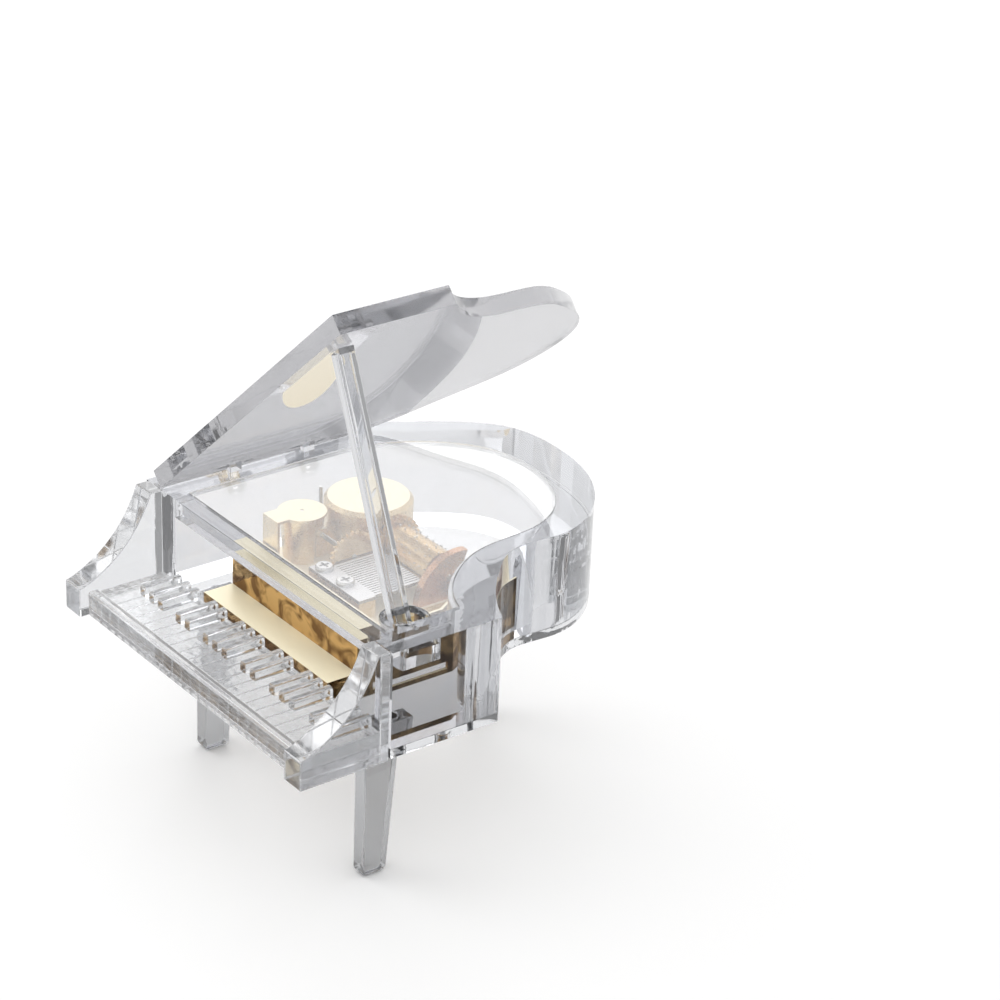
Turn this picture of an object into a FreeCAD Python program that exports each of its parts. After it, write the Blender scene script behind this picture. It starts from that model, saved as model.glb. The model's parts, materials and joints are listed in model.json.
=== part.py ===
# Clear acrylic grand piano music box with a gold plated 18 note wind-up movement.
# Frame: millimetres, +Z up, +X towards the treble side, +Y towards the tail.
# Drawing origin: on the table, below the middle of the front edge of the case.
# Handed-in origin: on the table, in the middle of the whole box, which is centre_y further back.
import FreeCAD, Part
import Sketcher
import math
import os

Vector = FreeCAD.Vector
Placement = FreeCAD.Placement
Rotation = FreeCAD.Rotation
X_AXIS = Vector(1, 0, 0)
Y_AXIS = Vector(0, 1, 0)
Z_AXIS = Vector(0, 0, 1)
AXIS_TURNS = {"x": Rotation(Y_AXIS, 90), "y": Rotation(X_AXIS, -90), "z": Rotation()}

SIZES = {
    # distance from the drawing origin back to the middle of the closed and open outline
    "centre_y": 39.936,
    # case
    "case_width": 110.0, "side_straight": 32.0, "bass_straight": 54.0, "case_floor": 44.7,
    "case_top": 73.6, "plate_thick": 2.7, "cover_thick": 2.0, "cover_rebate": 1.2, "fit_gap": 0.15,
    "cavity_bass": 41.2, "cavity_treble": 44.8, "cavity_corner": 25.5,
    "rail_depth": 6.0, "rail_height": 5.2,
    # keyboard
    "cheek_outside": 54.4, "cheek_thick": 7.2, "cheek_reach": 25.4, "cheek_floor": 43.8,
    "toe_height": 8.2, "key_floor": 46.2, "key_top": 50.0, "key_front": 19.4, "white_count": 22.0,
    "key_groove": 0.25, "groove_depth": 0.3, "black_top": 53.0, "black_front": 11.6, "black_wide": 2.5,
    "slip_front": 22.8, "slip_top": 50.7,
    # gold box that carries the movement
    "box_half": 28.0, "gold_sheet": 0.8, "ledge_front": 0.2, "ledge_top": 52.5, "riser_face": 9.0,
    "shelf_top": 61.5, "shelf_back": 17.2, "box_floor": 54.5, "box_side_back": 34.5,
    # lid and its hinge
    "lid_thick": 5.0, "lid_width": 108.0, "lid_straight": 33.0, "lid_open": 42.0, "hinge_x": -48.5,
    "hinge_z": 76.8, "hinge_pin": 1.6, "lug_wide": 3.4, "lug_radius": 2.2, "lug_gap": 0.35,
    "lid_heel": 1.8, "front_lug": 22.0, "rear_lug": 45.0,
    # prop stick
    "prop_side": 4.4, "prop_foot_x": 41.7, "prop_foot_y": 11.8, "prop_foot_z": 71.3,
    "prop_tip_x": 22.3, "prop_tip_y": 7.3, "prop_tip_z": 136.2, "prop_pin": 1.4, "boss_radius": 6.0,
    # legs
    "leg_spread": 36.4, "leg_wide": 4.8, "leg_front": 4.5, "leg_foot": 6.8, "leg_head": 10.7,
    "rear_leg_x": -12.0, "rear_leg_front": 73.0, "rear_leg_head": 14.0, "spigot_radius": 1.9,
    # movement
    "bed_top": 56.3, "bed_left": -30.2, "bed_right": 17.4, "bed_front": 17.5, "bed_back": 58.5,
    "barrel_x": -18.9, "barrel_radius": 11.7, "barrel_top": 70.8,
    "cylinder_y": 45.0, "cylinder_z": 62.3, "cylinder_radius": 5.4,
    "cylinder_left": -5.6, "cylinder_right": 13.2, "shaft_radius": 0.8,
    "governor_x": -22.8, "governor_y": 26.9, "governor_radius": 6.4, "governor_top": 69.6,
    "comb_top": 61.9, "comb_thick": 0.9, "comb_left": -5.2, "comb_right": 13.4,
    "comb_front": 19.2, "comb_heel": 24.3, "comb_tip": 39.0, "note_count": 18.0,
    # wheels
    "gear_module": 0.5, "wheel_wide": 1.2, "wheel_left": -7.1, "cylinder_teeth": 28.0,
    "third_teeth": 26.0, "crown_teeth": 36.0, "pinion_teeth": 12.0,
}

doc = FreeCAD.newDocument("piano_music_box")
sheet = doc.addObject("Spreadsheet::Sheet", "Sizes")
nodes = []


def fill_sheet():
    """Write each driving dimension in the sheet under its own name."""
    for row, (name, value) in enumerate(SIZES.items(), start=1):
        sheet.set(f"A{row}", name)
        sheet.set(f"B{row}", str(value))
        sheet.setAlias(f"B{row}", name)
    doc.recompute()


def amount(text):
    """The value of a number, or of a sum of products of sheet names and numbers set apart by spaces."""
    if not isinstance(text, str):
        return float(text)
    total = 0.0
    term = 0.0
    action = "+"
    for word in text.split():
        if word in "+-*/":
            action = word
            continue
        name = word.lstrip("-")
        number = float(sheet.get(name)) if name in SIZES else float(name)
        number = -number if word.startswith("-") else number
        if action == "*":
            term *= number
        elif action == "/":
            term /= number
        else:
            total += term
            term = number if action == "+" else -number
    return total + term


def formula(text):
    """The same sum as an expression on the sheet's cells."""
    words = []
    for word in text.split():
        name = word.lstrip("-")
        words.append(word.replace(name, "Sizes." + name) if name in SIZES else word)
    return " ".join(words)


def bind(thing, prop, value):
    """Tie a property to the sheet when its value is a sum of names, or just set it."""
    thing.setExpression(prop, formula(value) if isinstance(value, str) else repr(float(value)))


def place(thing, x, y, z):
    """Tie an object's position to the sheet."""
    bind(thing, "Placement.Base.x", x)
    bind(thing, "Placement.Base.y", y)
    bind(thing, "Placement.Base.z", z)


def node(thing, label):
    """Name an object as a finished sub-part."""
    thing.Label = label
    nodes.append(thing)
    return thing


def block(name, corner, lengths):
    """A box from its lowest corner."""
    box = doc.addObject("Part::Box", name)
    bind(box, "Length", lengths[0])
    bind(box, "Width", lengths[1])
    bind(box, "Height", lengths[2])
    place(box, *corner)
    return box


def rod(name, start, axis, radius, length):
    """A cylinder that starts at a point and runs along x, y or z."""
    cylinder = doc.addObject("Part::Cylinder", name)
    bind(cylinder, "Radius", radius)
    bind(cylinder, "Height", length)
    cylinder.Placement = Placement(Vector(), AXIS_TURNS[axis])
    place(cylinder, *start)
    return cylinder


def feature(name, shape):
    """An object whose shape is made with Part's own functions."""
    thing = doc.addObject("Part::Feature", name)
    thing.Shape = shape
    return thing


def fused(name, parts):
    """One solid out of several."""
    whole = doc.addObject("Part::MultiFuse", name)
    whole.Shapes = parts
    whole.Refine = True
    return whole


def cut(name, base, tools):
    """A base less one tool, or less several fused tools."""
    tool = tools[0] if len(tools) == 1 else fused(name + "_tools", tools)
    result = doc.addObject("Part::Cut", name)
    result.Base = base
    result.Tool = tool
    return result


def rounded(name, base, radius, picks):
    """Fillet the edges of a finished base whose middle point passes the test."""
    doc.recompute()
    result = doc.addObject("Part::Fillet", name)
    result.Base = base
    edges = enumerate(base.Shape.Edges, start=1)
    result.Edges = [(number, radius, radius) for number, edge in edges if picks(edge.BoundBox)]
    return result


def new_sketch(body, name, role, offset=0.0):
    """A sketch on one of the body's own origin planes, moved along the plane's normal."""
    sketch = body.newObject("Sketcher::SketchObject", name)
    plane = [part for part in body.Origin.OriginFeatures if part.Role == role][0]
    sketch.AttachmentSupport = [(plane, "")]
    sketch.MapMode = "FlatFace"
    bind(sketch, "AttachmentOffset.Base.z", offset)
    return sketch


def pin_point(sketch, line, end, x, y):
    """Hold one end of a line at a place taken from the sheet."""
    for kind, value in (("DistanceX", x), ("DistanceY", y)):
        index = sketch.addConstraint(Sketcher.Constraint(kind, -1, 1, line, end, amount(value)))
        if isinstance(value, str):
            sketch.setExpression(f"Constraints[{index}]", formula(value))


def draw(sketch, corners, curve=None):
    """A closed outline of straight lines through corners, or with one curve after the last corner."""
    points = [Vector(amount(x), amount(y), 0) for x, y in corners]
    lines = list(zip(points, points[1:])) if curve else list(zip(points, points[1:] + points[:1]))
    for start, end in lines:
        sketch.addGeometry(Part.LineSegment(start, end), False)
    for line in range(len(lines) - 1):
        sketch.addConstraint(Sketcher.Constraint("Coincident", line, 2, line + 1, 1))
    for line, (x, y) in enumerate(corners[:len(lines)]):
        pin_point(sketch, line, 1, x, y)
    if curve:
        pin_point(sketch, len(lines) - 1, 2, *corners[-1])
        last = sketch.addGeometry(curve, False)
        sketch.addConstraint(Sketcher.Constraint("Block", last))
    else:
        sketch.addConstraint(Sketcher.Constraint("Coincident", len(lines) - 1, 2, 0, 1))


def circle(sketch, x, y, radius):
    """A circle whose radius and centre come from the sheet."""
    centre = Vector(amount(x), amount(y), 0)
    index = sketch.addGeometry(Part.Circle(centre, Z_AXIS, amount(radius)), False)
    pin_point(sketch, index, 3, x, y)
    number = sketch.addConstraint(Sketcher.Constraint("Radius", index, amount(radius)))
    if isinstance(radius, str):
        sketch.setExpression(f"Constraints[{number}]", formula(radius))


def pad(body, sketch, length, reverse=False):
    """Give a sketch its thickness."""
    result = body.newObject("PartDesign::Pad", body.Name + "_pad")
    result.Profile = sketch
    bind(result, "Length", length)
    result.Reversed = reverse
    sketch.Visibility = False
    return result


def pocket(body, sketch, depth=None, reverse=False):
    """Sink a sketch into the body, or through all of it when no depth is given."""
    doc.recompute()
    before = body.Shape.Volume
    result = body.newObject("PartDesign::Pocket", body.Name + "_pocket")
    result.Profile = sketch
    result.Reversed = reverse
    if depth is None:
        result.Type = "ThroughAll"
        result.Midplane = True
    else:
        bind(result, "Length", depth)
    doc.recompute()
    if body.Shape.Volume >= before:
        raise RuntimeError(f"{body.Name}: a pocket cut nothing")
    return result


def soften(body, radius, picks):
    """Fillet the edges of a body whose bounding box passes the test."""
    doc.recompute()
    base = body.Tip
    edges = enumerate(base.Shape.Edges, start=1)
    names = [f"Edge{number}" for number, edge in edges if picks(edge.BoundBox)]
    result = body.newObject("PartDesign::Fillet", body.Name + "_soft")
    result.Base = (base, names)
    result.Radius = radius
    doc.recompute()


def spline(points):
    """A smooth curve through points in plan."""
    curve = Part.BSplineCurve()
    curve.interpolate(Points=[Vector(x, y, 0) for x, y in points])
    return curve


def case_curve():
    """The treble bend, waist and tail of the case in plan."""
    half = amount("case_width / 2")
    return spline([(half, amount("side_straight")), (44.8, 37.8), (35.3, 46.2), (28.4, 56.0), (28.4, 71.0),
                   (21.6, 86.2), (7.0, 97.2), (-11.3, 101.3), (-29.8, 98.2), (-43.4, 83.3), (-53.6, 64.0),
                   (-half, amount("bass_straight"))])


def cavity_curve():
    """The same bend on the inside of the case wall."""
    return spline([(amount("cavity_treble"), amount("cavity_corner")), (39.8, 27.4), (33.8, 31.8), (26.6, 40.4),
                   (22.2, 51.0), (20.8, 66.0), (14.5, 78.4), (3.5, 85.4), (-9.5, 87.6), (-22.5, 84.0),
                   (-32.8, 74.5), (-40.2, 59.0), (-amount("cavity_bass"), 50.0)])


def lid_curve():
    """The bend, waist and tail of the lid, measured from its hinge axis."""
    right = amount("lid_width - lid_thick / 2")
    left = amount("-1 * lid_heel")
    return spline([(right, amount("lid_straight")), (97.8, 38.2), (89.8, 47.2), (85.6, 57.0), (84.0, 70.5),
                   (74.6, 84.8), (60.0, 98.4), (42.8, 105.2), (22.4, 99.3), (10.6, 83.5), (-1.2, 63.5),
                   (left, amount("bass_straight"))])


def plan_face(curve, front):
    """A flat face between a front line, two straight sides and a curved tail."""
    first = curve.value(curve.FirstParameter)
    last = curve.value(curve.LastParameter)
    corners = [last, Vector(last.x, front, 0), Vector(first.x, front, 0), first]
    edges = [Part.LineSegment(a, b).toShape() for a, b in zip(corners, corners[1:])]
    return Part.Face(Part.Wire(edges + [curve.toShape()]))


def widened(curve, gap):
    """A curve that runs outside another at a fixed distance."""
    low, high = curve.FirstParameter, curve.LastParameter
    points = []
    for step in range(15):
        spot = low + (high - low) * step / 14
        along = curve.tangent(spot)[0]
        points.append(curve.value(spot) + Vector(along.y, -along.x, 0) * gap)
    return spline([(point.x, point.y) for point in points])


def slab(face, floor, top):
    """A plan face between two heights."""
    lifted = face.copy()
    lifted.translate(Vector(0, 0, floor))
    return lifted.extrude(Vector(0, 0, top - floor))


def prop_frame():
    """The prop's length and its frame: z along the stick, x along its pin, origin at the pin."""
    foot = Vector(amount("prop_foot_x"), amount("prop_foot_y"), amount("prop_foot_z"))
    tip = Vector(amount("prop_tip_x"), amount("prop_tip_y"), amount("prop_tip_z"))
    along = (tip - foot).normalize()
    pin = along.cross(Y_AXIS).normalize()
    return (tip - foot).Length, Placement(foot, Rotation(pin, along.cross(pin), along, "ZXY"))


def case_body():
    """Clear case: walls, front rail, hinge lugs and the boss that holds the prop stick."""
    floor = amount("case_floor + plate_thick")
    top = amount("case_top")
    rail = top - amount("rail_height")
    walls = slab(plan_face(case_curve(), 0), floor, top)
    walls = walls.cut(slab(plan_face(cavity_curve(), -1), floor - 1, rail))
    walls = walls.cut(slab(plan_face(cavity_curve(), amount("rail_depth")), rail - 0.01, top + 1))
    boss = Part.makeCylinder(amount("boss_radius"), 9.6, Vector(42.3, 12.5, top - 9.6))
    walls = walls.fuse(boss)
    walls = walls.cut(cover_space(0))
    slot = Part.makeBox(7.6, 9.2, 5.2, Vector(37.5, 8.4, top - 5.1))
    walls = walls.cut(slot)
    length, frame = prop_frame()
    bore = Part.makeCylinder(amount("prop_pin / 2") + 0.02, 13.0, Vector(-6.5, 0, 0), X_AXIS)
    bore.Placement = frame
    walls = walls.cut(bore)
    for middle in ("front_lug", "rear_lug"):
        walls = walls.fuse(hinge_lug(amount(middle)))
    pin_line = Vector(amount("hinge_x"), 0, amount("hinge_z"))
    walls = walls.cut(Part.makeCylinder(amount("hinge_pin / 2") + 0.02, 60, pin_line, Y_AXIS))
    return node(feature("case_body", walls.removeSplitter()), "case_body")


def hinge_lug(middle):
    """A round-topped lug on the bass rim."""
    wide = amount("lug_wide")
    radius = amount("lug_radius")
    x, z, rim = amount("hinge_x"), amount("hinge_z"), amount("case_top")
    neck = Part.makeBox(2 * radius, wide, z - rim + 0.5, Vector(x - radius, middle - wide / 2, rim - 0.5))
    return neck.fuse(Part.makeCylinder(radius, wide, Vector(x, middle - wide / 2, z), Y_AXIS))


def cover_space(gap):
    """The recess of the top cover, or the cover itself when a gap is taken off all round."""
    top = amount("case_top")
    rebate = amount("cover_rebate")
    curve = widened(cavity_curve(), rebate - gap)
    face = plan_face(curve, amount("rail_depth") - rebate + gap)
    lift = 0.5 if gap == 0 else 0.0
    space = slab(face, top - amount("cover_thick"), top + lift)
    boss = Part.makeCylinder(amount("boss_radius") + gap, 10, Vector(42.3, 12.5, top - 5))
    return space.cut(boss)


def top_cover():
    """Clear panel let into the rim over the movement."""
    return node(feature("top_cover", cover_space(amount("fit_gap"))), "top_cover")


def bottom_plate():
    """Clear plate under the whole case, bored for the winding shaft, screws and leg spigots."""
    body = doc.addObject("PartDesign::Body", "bottom_plate")
    plan = new_sketch(body, "bottom_plan", "XY_Plane", "case_floor")
    half = "case_width / 2"
    corners = [("-1 * case_width / 2", "bass_straight"), ("-1 * case_width / 2", 0), (half, 0),
               (half, "side_straight")]
    draw(plan, corners, case_curve())
    pad(body, plan, "plate_thick")
    holes = new_sketch(body, "bottom_holes", "XY_Plane", "case_floor")
    circle(holes, "barrel_x", "cylinder_y", 2.6)
    for x, y in SCREW_PLACES:
        circle(holes, x, y, 1.1)
    pocket(body, holes)
    sockets = new_sketch(body, "leg_sockets", "XY_Plane", "case_floor")
    for x, front, head in LEG_PLACES.values():
        circle(sockets, x, f"{front} + {head} / 2", "spigot_radius")
    pocket(body, sockets, 2.0, reverse=True)
    return node(body, "bottom_plate")


def keybed():
    """Clear shelf under the keys, from cheek to cheek."""
    bed = block("keybed", ("cheek_thick - cheek_outside", "-1 * slip_front", "cheek_floor"),
                ("2 * cheek_outside - 2 * cheek_thick", "slip_front", "key_floor - cheek_floor"))
    return node(bed, "keybed")


def white_keys():
    """One moulded plate with a groove between each two white keys."""
    body = doc.addObject("PartDesign::Body", "white_keys")
    left = "cheek_thick - cheek_outside"
    right = "cheek_outside - cheek_thick"
    plan = new_sketch(body, "white_plan", "XY_Plane", "key_floor")
    draw(plan, [(left, "-1 * key_front"), (right, "-1 * key_front"), (right, 0), (left, 0)])
    pad(body, plan, "key_top - key_floor")
    pitch = amount("cheek_outside - cheek_thick") * 2 / amount("white_count")
    first = amount(left) + pitch
    groove = new_sketch(body, "white_groove", "XY_Plane", "key_top")
    half = amount("key_groove / 2")
    draw(groove, [(first - half, "-1 * key_front"), (first + half, "-1 * key_front"), (first + half, 0),
                  (first - half, 0)])
    cutter = pocket(body, groove, "groove_depth")
    front = new_sketch(body, "white_front_groove", "XY_Plane", "key_top")
    draw(front, [(first - half, "-1 * key_front"), (first + half, "-1 * key_front"),
                 (first + half, "groove_depth - key_front"), (first - half, "groove_depth - key_front")])
    front_cutter = pocket(body, front)
    pattern = body.newObject("PartDesign::LinearPattern", "white_pattern")
    pattern.Originals = [cutter, front_cutter]
    pattern.Direction = (groove, ["H_Axis"])
    pattern.Length = pitch * (amount("white_count") - 2)
    pattern.Occurrences = int(amount("white_count")) - 1
    body.Tip = pattern
    return node(body, "white_keys")


def black_keys():
    """Fifteen fixed bars, each rounded along its top."""
    pitch = amount("cheek_outside - cheek_thick") * 2 / amount("white_count")
    left = amount("cheek_thick - cheek_outside")
    wide = amount("black_wide")
    length = amount("black_front") - 0.3
    height = amount("black_top - key_top")
    bars = []
    for place_in_row in BLACK_PLACES:
        corner = Vector(left + place_in_row * pitch - wide / 2, -amount("black_front"), amount("key_top"))
        bar = Part.makeBox(wide, length, height, corner)
        top_edges = [edge for edge in bar.Edges if edge.BoundBox.ZMin > amount("black_top") - 0.01
                     and edge.BoundBox.YMin < -1]
        bars.append(bar.makeFillet(0.95, top_edges))
    return node(feature("black_keys", Part.makeCompound(bars)), "black_keys")


def key_slip():
    """Clear strip with a rounded ridge in front of the keys."""
    strip = block("slip_strip", ("cheek_thick - cheek_outside", "-1 * slip_front", "key_floor"),
                  ("2 * cheek_outside - 2 * cheek_thick", "slip_front - key_front", "slip_top - key_floor"))
    ridge = amount("slip_top") - 0.01
    return node(rounded("key_slip", strip, 0.9, lambda box: box.ZMin > ridge and box.XLength > 50), "key_slip")


def cheek(label, side):
    """A clear arm beside the keys: a toe in front and a hollow curve up to the rim."""
    body = doc.addObject("PartDesign::Body", label)
    outside = "cheek_outside - cheek_thick" if side > 0 else "-1 * cheek_outside"
    profile = new_sketch(body, label + "_profile", "YZ_Plane", outside)
    toe = amount("cheek_floor + toe_height")
    reach = -amount("cheek_reach")
    top = amount("case_top")
    hollow = Part.Arc(Vector(reach + 0.9, toe, 0), Vector(-12.1, 60.0, 0), Vector(-3.7, top, 0))
    corners = [(-3.7, "case_top"), (0, "case_top"), (0, "cheek_floor"), ("-1 * cheek_reach", "cheek_floor"),
               ("-1 * cheek_reach", "cheek_floor + toe_height"),
               ("0.9 - cheek_reach", "cheek_floor + toe_height")]
    draw(profile, corners, hollow)
    pad(body, profile, "cheek_thick")
    floor = amount("cheek_floor")
    soften(body, 0.4, lambda box: box.YMax < reach + 0.01 and box.ZMax > floor + 0.1)
    return node(body, label)


def sheet_prism(corners, floor, top):
    """A flat polygon in plan, lifted between two heights."""
    outline = [Vector(x, y, floor) for x, y in corners]
    return Part.Face(Part.makePolygon(outline + outline[:1])).extrude(Vector(0, 0, top - floor))


def movement_box():
    """Gold sheet folded into a lip, a ledge over the keys, a riser, a shelf and a floor, with skirts."""
    sheet_thick = "gold_sheet"
    left = "-1 * box_half"
    wide = "2 * box_half"
    plate = "case_floor + plate_thick"
    below_ledge = "ledge_top - case_floor - plate_thick"
    below_shelf = "shelf_top - case_floor - plate_thick"
    lip = block("lip", (left, "ledge_front", plate), (wide, sheet_thick, below_ledge))
    ledge = block("ledge", (left, "ledge_front", "ledge_top - gold_sheet"),
                  (wide, "riser_face + gold_sheet - ledge_front", sheet_thick))
    riser = block("riser", (left, "riser_face", "ledge_top - gold_sheet"),
                  (wide, sheet_thick, "shelf_top - ledge_top + gold_sheet"))
    shelf = block("shelf", (left, "riser_face", "shelf_top - gold_sheet"),
                  (wide, "shelf_back - riser_face", sheet_thick))
    step = block("step", (left, "shelf_back - gold_sheet", "box_floor - gold_sheet"),
                 (wide, sheet_thick, "shelf_top - box_floor + gold_sheet"))
    parts = [lip, ledge, riser, shelf, step]
    for name, x, back in (("left", left, "shelf_back"), ("right", "box_half - gold_sheet", "box_side_back")):
        low = block(name + "_low_skirt", (x, "ledge_front", plate),
                    (sheet_thick, "riser_face - ledge_front", below_ledge))
        high = block(name + "_skirt", (x, "riser_face", plate), (sheet_thick, f"{back} - riser_face", below_shelf))
        parts += [low, high]
    bend = [(amount("box_half"), amount("box_side_back")), (19.6, 49.5), (19.6, 61.0)]
    inside = [(x - amount("gold_sheet"), y - 0.2) for x, y in bend[:2]] + [(19.6 - amount("gold_sheet"), 61.0)]
    wall = sheet_prism(bend + inside[::-1], amount(plate), amount("shelf_top"))
    floor = sheet_prism([(-31.0, 16.5), (27.5, 16.5)] + inside + [(-31.0, 61.0)],
                        amount("box_floor - gold_sheet"), amount("box_floor"))
    parts += [feature("box_side_bend", wall), feature("box_floor_sheet", floor)]
    holes = [rod("box_shaft_hole", ("barrel_x", "cylinder_y", "box_floor - 3"), "z", 2.6, 5),
             block("box_side_slot", ("box_half - 2", 11.5, "case_floor + plate_thick + 1.3"), (3, 21.5, 2.0))]
    for number, (x, y) in enumerate(SCREW_PLACES):
        holes.append(rod(f"box_screw_hole_{number}", (x, y, "box_floor - 3"), "z", 1.1, 5))
    return node(cut("movement_box", fused("box_sheets", parts), holes), "movement_box")


def lid():
    """Clear lid, drawn lying down with its hinge axis at the origin, notched for the two lugs."""
    body = doc.addObject("PartDesign::Body", "lid_slab")
    plan = new_sketch(body, "lid_plan", "XY_Plane", "-1 * lid_thick / 2")
    left = "-1 * lid_heel"
    right = "lid_width - lid_thick / 2"
    draw(plan, [(left, "bass_straight"), (left, 0), (right, 0), (right, "lid_straight")], lid_curve())
    pad(body, plan, "lid_thick")
    tools = [rod("lid_bore_" + lug, (0, lug + "_lug - 5.5", 0), "y", "hinge_pin / 2 + 0.06", 11)
             for lug in ("front", "rear")]
    for middle in ("front_lug", "rear_lug"):
        low = f"{middle} - lug_wide / 2 - lug_gap"
        tools.append(block(middle + "_notch", (-4, low, -4), (7.6, "lug_wide + 2 * lug_gap", 8)))
    whole = cut("lid", body, tools)
    whole.Placement = Placement(Vector(), Rotation(Vector(0, -1, 0), 1))
    place(whole, "hinge_x", 0, "hinge_z")
    bind(whole, "Placement.Rotation.Angle", "lid_open")
    return node(whole, "lid")


def box_outline(sketch, left, low, right, high, first):
    """Add a rectangle to a sketch that already holds curves."""
    corners = [(left, low), (right, low), (right, high), (left, high)]
    points = [Vector(amount(x), amount(y), 0) for x, y in corners]
    for start, end in zip(points, points[1:] + points[:1]):
        sketch.addGeometry(Part.LineSegment(start, end), False)
    for side in range(4):
        following = first + (side + 1) % 4
        sketch.addConstraint(Sketcher.Constraint("Coincident", first + side, 2, following, 1))
        pin_point(sketch, first + side, 1, *corners[side])


def lid_hinge_pins():
    """Two steel pins through the lugs and the lid's hinge edge."""
    pins = []
    for number, middle in enumerate(("front_lug", "rear_lug")):
        pins.append(rod(f"lid_pin_{number}", ("hinge_x", f"{middle} - 5", "hinge_z"), "y", "hinge_pin / 2", 10))
    group = doc.addObject("Part::Compound", "lid_hinge_pins")
    group.Links = pins
    return node(group, "lid_hinge_pins")


def prop_stick():
    """Square clear stick with a round foot, its tip cut to the slope of the lid."""
    length, frame = prop_frame()
    side = amount("prop_side")
    stick = Part.makeBox(side, side, length + 4, Vector(-side / 2, -side / 2, 0))
    stick = stick.makeFillet(0.5, [edge for edge in stick.Edges if edge.BoundBox.ZLength > 10])
    foot = Part.makeCylinder(side / 2, side, Vector(-side / 2, 0, 0), X_AXIS)
    bore = Part.makeCylinder(amount("prop_pin / 2") + 0.05, side + 2, Vector(-side / 2 - 1, 0, 0), X_AXIS)
    stick = stick.fuse(foot).cut(bore)
    stick.Placement = frame
    slope = Rotation(Vector(0, -1, 0), amount("lid_open"))
    hinge = Vector(amount("hinge_x"), 0, amount("hinge_z"))
    under_lid = Part.makeBox(150, 60, 30, Vector(-10, -20, -amount("lid_thick / 2") - 0.35))
    under_lid.Placement = Placement(hinge, slope)
    return node(feature("prop_stick", stick.cut(under_lid)), "prop_stick")


def prop_pin():
    """Steel pin of the prop stick."""
    length, frame = prop_frame()
    pin = Part.makeCylinder(amount("prop_pin / 2"), 11.6, Vector(-5.8, 0, 0), X_AXIS)
    pin.Placement = frame
    return node(feature("prop_pin", pin), "prop_pin")


def leg(label, x, front, head):
    """A clear leg: tapered at the back, rounded at the foot, with a spigot into the bottom plate."""
    body = doc.addObject("PartDesign::Body", label)
    side = new_sketch(body, label + "_side", "YZ_Plane", f"{x} - leg_wide / 2")
    draw(side, [(front, 0), (f"{front} + leg_foot", 0), (f"{front} + {head}", "case_floor"),
                (front, "case_floor")])
    pad(body, side, "leg_wide")
    soften(body, 1.6, lambda box: box.ZMax < 0.01)
    spigot = new_sketch(body, label + "_spigot", "XY_Plane", "case_floor")
    circle(spigot, x, f"{front} + {head} / 2", "spigot_radius - 0.1")
    pad(body, spigot, 1.9)
    return node(body, label)


def toothed_disc(teeth, bore, phase, width):
    """A wheel of straight-sided teeth in the plane of y and z, from x = 0; phase is its first tooth."""
    module = amount("gear_module")
    pitch = module * teeth / 2
    root, tip = pitch - 1.05 * module, pitch + 0.75 * module
    root_half, tip_half = 0.78 * module / root, 0.38 * module / tip
    points = []
    for tooth in range(teeth):
        middle = phase + 2 * math.pi * tooth / teeth
        for radius, turn in ((root, -root_half), (tip, -tip_half), (tip, tip_half), (root, root_half)):
            points.append(Vector(0, radius * math.cos(middle + turn), radius * math.sin(middle + turn)))
    disc = Part.Face(Part.makePolygon(points + points[:1])).extrude(Vector(width, 0, 0))
    return disc.cut(Part.makeCylinder(bore + 0.02, width + 2, Vector(-1, 0, 0), X_AXIS))


def third_place():
    """Where the third arbor runs: one centre distance in front of the cylinder."""
    reach = amount("gear_module") * (amount("cylinder_teeth") + amount("third_teeth")) / 2
    return amount("cylinder_y") - reach, amount("cylinder_z")


def bedplate():
    """Gold plated base of the movement with openings under the wheels and the cylinder."""
    body = doc.addObject("PartDesign::Body", "bedplate")
    plan = new_sketch(body, "bed_plan", "XY_Plane", "box_floor")
    draw(plan, [("bed_left", "bed_front"), ("bed_right", "bed_front"), ("bed_right", "bed_back"),
                ("bed_left", "bed_back")])
    pad(body, plan, "bed_top - box_floor")
    openings = new_sketch(body, "bed_openings", "XY_Plane", "bed_top")
    box_outline(openings, "wheel_left - 0.5", 24.4, "wheel_left + wheel_wide + 0.4", 53.0, 0)
    box_outline(openings, "cylinder_left + 0.4", 40.5, "cylinder_right + 0.2", 49.5, 4)
    circle(openings, "barrel_x", "cylinder_y", 1.45)
    circle(openings, "governor_x", "governor_y", 0.5)
    circle(openings, *STOP_PLACE, 0.55)
    for x, y in SCREW_PLACES:
        circle(openings, x, y, 1.1)
    pocket(body, openings)
    left, right = amount("bed_left"), amount("bed_right")
    soften(body, 2.0, lambda box: box.XLength + box.YLength < 0.01
           and (abs(box.XMin - left) < 0.01 or abs(box.XMin - right) < 0.01))
    return node(body, "bedplate")


def spacers():
    """Brass tubes that hold the gold box up from the bottom plate."""
    tubes = []
    floor = amount("case_floor + plate_thick")
    height = amount("box_floor - gold_sheet") - floor
    for x, y in SCREW_PLACES:
        tube = Part.makeCylinder(2.2, height, Vector(x, y, floor))
        tubes.append(tube.cut(Part.makeCylinder(1.1, height + 2, Vector(x, y, floor - 1))))
    return node(feature("spacers", Part.makeCompound(tubes)), "spacers")


def movement_screws():
    """Three long screws from under the case into the bedplate."""
    screws = []
    floor = amount("case_floor")
    for x, y in SCREW_PLACES:
        head = Part.makeCylinder(2.1, 1.3, Vector(x, y, floor - 1.3))
        head = head.cut(Part.makeBox(5, 0.6, 0.7, Vector(x - 2.5, y - 0.3, floor - 1.3)))
        shank = Part.makeCylinder(1.05, amount("bed_top") - floor + 0.4, Vector(x, y, floor))
        screws.append(head.fuse(shank))
    return node(feature("movement_screws", Part.makeCompound(screws)), "movement_screws")


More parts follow.
